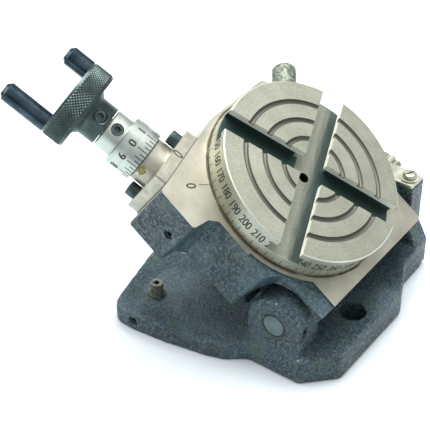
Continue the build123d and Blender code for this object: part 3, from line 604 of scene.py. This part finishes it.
def open_at_slots(piece):
    """Removes the marks that would hang in the air over the mouths of the slots."""
    back = TABLE.inverted()
    work = bmesh.new()
    work.from_mesh(piece.data)
    gone = []
    for face in work.faces:
        p = back @ face.calc_center_median()
        half = SLOT_NECK_W / 2 if p.z > TABLE_TOP - SLOT_LIP else SLOT_WIDE_W / 2
        for angle in (SLOT_ANGLE, SLOT_ANGLE + math.pi / 2):
            if abs(p.y * math.cos(angle) - p.x * math.sin(angle)) < half and p.z > TABLE_TOP - SLOT_DEPTH:
                gone.append(face)
                break
    bmesh.ops.delete(work, geom=gone, context="FACES")
    work.to_mesh(piece.data)
    work.free()


# Angles of the two scales' zeros round their axes
DEGREE_ZERO = math.radians(67.3)
DIAL_ZERO = math.radians(59.0)
degree_lines = grown("table_degree_lines", GRADUATIONS,
                     {"Count": 72, "Radius": TABLE_R, "Foot": TABLE_FOOT + 0.9 * MM, "Long": 2.8 * MM,
                      "Medium": 1.6 * MM, "Long every": 2, "Medium every": 1, "Start": DEGREE_ZERO,
                      "Width": 0.28 * MM},
                     TABLE, "table", mark_black)
degree_numbers = grown("table_degree_numbers", NUMERALS,
                       {"Count": 36, "Step": 10, "Radius": TABLE_R, "Foot": TABLE_FOOT + 5.4 * MM,
                        "Height": 6.3 * MM, "Squeeze": 0.62, "Start": DEGREE_ZERO, "Bold": 0.2 * MM},
                       TABLE, "table", mark_black)
open_at_slots(degree_lines)
open_at_slots(degree_numbers)
grown("dial_lines", GRADUATIONS,
      {"Count": 40, "Radius": DIAL_R, "Foot": DIAL_IN + 0.1 * MM, "Long": 4.6 * MM, "Medium": 3.4 * MM,
       "Short": 2.3 * MM, "Long every": 4, "Medium every": 2, "Start": DIAL_ZERO, "Width": 0.38 * MM},
      WORM, "dial", mark_black)
grown("dial_numbers", NUMERALS,
      {"Count": 10, "Step": 1, "Radius": DIAL_R, "Foot": DIAL_IN + 8.8 * MM, "Height": 4.7 * MM,
       "Squeeze": 0.95, "Start": DIAL_ZERO, "Upright": -1.0, "Proud": 0.05 * MM, "Bold": 0.3 * MM},
      WORM, "dial", mark_black)


def on_seat(x_mm, y_mm):
    """A point on the body's ground top, in the table's frame."""
    return TABLE @ Vector((x_mm * MM, y_mm * MM, 0))


def on_worm(x, y, z):
    """A point in the worm's frame, in metres."""
    return WORM @ Vector((x, y, z))


def face_place(at, along, normal):
    """A place on a face: X runs along it, Z stands off it."""
    z = normal.normalized()
    x = (along - along.dot(z) * z).normalized()
    place = Matrix((x, z.cross(x), z)).transposed().to_4x4()
    place.translation = at + z * MARK_LIFT
    return place


# The body's zero, and the line from it to the table's scale
BODY_ZERO_AT = on_seat(-25.9, -42.0)
BODY_ZERO_ALONG = TABLE.to_3x3() @ Vector((0.852, -0.524, 0))
engraved_zero("body_zero", 6.0 * MM, face_place(BODY_ZERO_AT, BODY_ZERO_ALONG, TABLE_NORMAL),
              "swivel", 0.8)
line_mark("body_index_line", on_seat(-24.3, -38.6), on_seat(-21.9, -34.8), TABLE_NORMAL,
          "swivel")

# The flange's zero, and the joint between the flange and the body
flange_up, flange_side = WORM.col[1].to_3d(), WORM.col[0].to_3d()
FLANGE_ZERO_AT = on_worm(-1.1 * MM, FLANGE_TOP, FLANGE_IN + 2.5 * MM)
engraved_zero("flange_zero", 6.4 * MM, face_place(FLANGE_ZERO_AT, -flange_side, flange_up),
              "swivel", 0.72)
joint_z = FLANGE_IN + 0.1 * MM
joint_corner = on_worm(FLANGE_SIDE, FLANGE_TOP, joint_z)
line_mark("flange_joint_top", on_worm(-FLANGE_SIDE, FLANGE_TOP, joint_z), joint_corner, flange_up,
          "swivel")
line_mark("flange_joint_side", joint_corner, on_worm(FLANGE_SIDE, -FLANGE_TOP, joint_z), flange_side,
          "swivel")


# ---- casting, handwheel, oil and grease ----

def merged_copy(node):
    """A CAD node's mesh with its loose triangles joined."""
    mesh = nodes[node].data.copy()
    work = bmesh.new()
    work.from_mesh(mesh)
    bmesh.ops.remove_doubles(work, verts=work.verts, dist=0.002 * MM)
    work.to_mesh(mesh)
    work.free()
    return mesh


def rough_casting(node, name, body, finish, kept_planes):
    """A casting with soft edges and a lumpy skin that never stands out of the drawn shape, so nothing that
    moves beside it touches. kept_planes are the (point, normal) faces that were machined flat."""
    cell, smoothings = 0.7 * MM, 4
    lump_size, lump_depth, lump_depth_on_sides = 3.4 * MM, 0.30 * MM, 0.135 * MM
    holder = bpy.data.objects.new(name + "_cells", merged_copy(node))
    bpy.context.scene.collection.objects.link(holder)
    cells = holder.modifiers.new("cells", "REMESH")
    cells.mode, cells.voxel_size, cells.adaptivity = "VOXEL", cell, 0.0
    mesh = bpy.data.meshes.new_from_object(holder.evaluated_get(bpy.context.evaluated_depsgraph_get()))
    bpy.data.objects.remove(holder)
    points = np.array([v.co for v in mesh.vertices])
    normals = np.array([v.normal for v in mesh.vertices])
    planes = [(np.array(at), np.array(normal)) for at, normal in kept_planes]
    flats = []
    for at, normal in planes:
        near = np.abs((points - at) @ normal) < 0.6 * cell
        flats.append(near & (normals @ normal > 0.8))
    start = points.copy()

    # Each round moves every point halfway to the middle of its neighbours
    a, b = np.array([e.vertices for e in mesh.edges]).T
    neighbours = np.bincount(np.concatenate([a, b]), minlength=len(points)).reshape(-1, 1)
    for _ in range(smoothings):
        total = np.zeros_like(points)
        np.add.at(total, a, points[b])
        np.add.at(total, b, points[a])
        points += 0.5 * (total / neighbours - points)

    # Lumps, deeper on what faces up, everywhere but on the machined faces
    for k in np.nonzero(~np.any(flats, axis=0))[0]:
        rise = lumpiness.fractal(Vector(points[k]) / lump_size, 0.8, 2.0, 3)
        faces_up = normals[k][2] > 0.6
        points[k] += normals[k] * rise * (lump_depth if faces_up else lump_depth_on_sides)
    outward = np.sum((points - start) * normals, axis=1, keepdims=True)
    points -= normals * np.maximum(outward, 0)

    # The machined faces are levelled last
    for (at, normal), flat in zip(planes, flats):
        high = (points - at) @ normal
        level = flat | ((high > 0) & (high < 1.2 * cell))
        points[level] -= np.outer(high[level], normal)
    mesh.vertices.foreach_set("co", points.ravel())
    mesh.shade_smooth()
    mesh.update()
    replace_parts(as_piece(name, mesh, body, finish), node)


underside = (Vector((0, 0, 0)), Vector((0, 0, -1)))
ear_top = (Vector((0, 0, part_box("tilt_index_plate")[0].z)), Vector((0, 0, 1)))
rough_casting("base_casting", "base_casting_skin", "base", casting_paint, [underside, ear_top])

# The knurl's pitch is drawn as 1.4 mm instead of the real 1 mm, so that its diamonds show.
KNURL_DEPTH = 0.36 * MM
KNURL_AROUND = 74
KNURL_ROOT = RIM_R - KNURL_DEPTH
KNURL_HEIGHT = 0.98 * KNURL_DEPTH
RIM_CHAMFER = 0.7 * MM
wheel_mesh = merged_copy("handwheel")
to_worm = WORM.inverted()
rim_in = RIM_OUT
for v in wheel_mesh.vertices:
    p = to_worm @ v.co
    r = math.hypot(p.x, p.y)
    if r > KNURL_ROOT:
        rim_in = min(rim_in, p.z)
        p.x, p.y = p.x * KNURL_ROOT / r, p.y * KNURL_ROOT / r
        v.co = WORM @ p
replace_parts(as_piece("handwheel_turned", wheel_mesh, "worm", black_wheel), "handwheel")
half_pitch = math.pi * KNURL_ROOT / KNURL_AROUND
knurl_rows = int((RIM_OUT - RIM_CHAMFER - rim_in) / half_pitch) - 1
knurl_middle = (RIM_OUT - RIM_CHAMFER + rim_in) / 2
grown("handwheel_knurl", KNURL,
      {"Around": KNURL_AROUND, "Rows": knurl_rows, "Radius": KNURL_ROOT,
       "Foot": knurl_middle - (knurl_rows + 1) * half_pitch / 2, "Depth": KNURL_HEIGHT},
      WORM, "worm", black_wheel)
grown("seat_oil_line", BEAD,
      {"Radius": TABLE_R + 0.4 * MM, "Thickness": 0.38 * MM, "Foot": -0.05 * MM, "Wander": 0.7},
      TABLE, "swivel", dried_oil)
pin_end = Matrix.Translation((0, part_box("near_pivot_pin")[0].y - 0.05 * MM, joints["tilt"]["pos_m"][2]))
grown("near_pin_ring", BEAD, {"Radius": 4.95 * MM, "Thickness": 0.16 * MM, "Foot": 0.0, "Wander": 0.4},
      pin_end @ Matrix.Rotation(math.pi / 2, 4, "X"), "base", mark_black)
grown("dial_grease", SMEAR,
      {"Radius": HUB_R, "Middle": math.radians(19.0), "Spread": 0.22, "Foot": DIAL_IN - 2.2 * MM,
       "Width": 1.3 * MM, "Size": 0.8 * MM, "Count": 22},
      WORM, "swivel", grease)


# ---- floor, light and camera ----

def add_floor():
    """Matt paper just under the base, wide enough to fill every view."""
    half, drop = 3.0, 0.2 * MM
    mesh = bpy.data.meshes.new("floor")
    corners = [(-half, -half, 0), (half, -half, 0), (half, half, 0), (-half, half, 0)]
    mesh.from_pydata(corners, [], [(0, 1, 2, 3)])
    floor = bpy.data.objects.new("floor", mesh)
    bpy.context.scene.collection.objects.link(floor)
    floor.location.z = -drop
    mesh.materials.append(new_material("paper, matt white", Base_Color="#D8E0E4", Roughness=0.9)[0])


def add_light(name, at, aim, size, watts):
    light = bpy.data.lights.new(name, "AREA")
    light.size, light.energy = size, watts
    lamp = bpy.data.objects.new(name, light)
    bpy.context.scene.collection.objects.link(lamp)
    lamp.location = at
    lamp.rotation_mode = "QUATERNION"
    lamp.rotation_quaternion = (Vector(aim) - Vector(at)).to_track_quat("-Z", "Y")


def add_camera():
    data = bpy.data.cameras.new("camera")
    data.lens, data.sensor_width = LENS, SENSOR
    data.clip_start, data.clip_end = 0.01, 20.0
    camera = bpy.data.objects.new("camera", data)
    bpy.context.scene.collection.objects.link(camera)
    camera.location = CAMERA_AT
    camera.rotation_mode = "QUATERNION"
    camera.rotation_quaternion = CAMERA_LOOK.to_track_quat("-Z", "Y")
    bpy.context.scene.camera = camera


add_floor()
add_light("overhead", at=(-0.15, 0.18, 0.85), aim=(-0.03, 0, 0.03), size=0.7, watts=14.0)
add_light("left", at=(-0.75, -0.15, 0.45), aim=(-0.03, 0, 0.04), size=0.5, watts=2.0)

# A soft box all round: white above, grey at the horizon, so that metal has something to reflect
world = bpy.data.worlds.new("soft box")
world.use_nodes = True
world.node_tree.nodes.clear()
sky = partial(add, world.node_tree)
height = sky("ShaderNodeSeparateXYZ", sky("ShaderNodeTexCoord").outputs["Generated"]).outputs["Z"]
shade = sky(MIX, sky(RANGE, height, 0.0, 0.75), A="#7F8A90", B="#FFFFFF", data_type="RGBA")
sky("ShaderNodeOutputWorld", sky("ShaderNodeBackground", shade, 1.0))
bpy.context.scene.world = world
bpy.context.scene.view_settings.view_transform = "Standard"
add_camera()
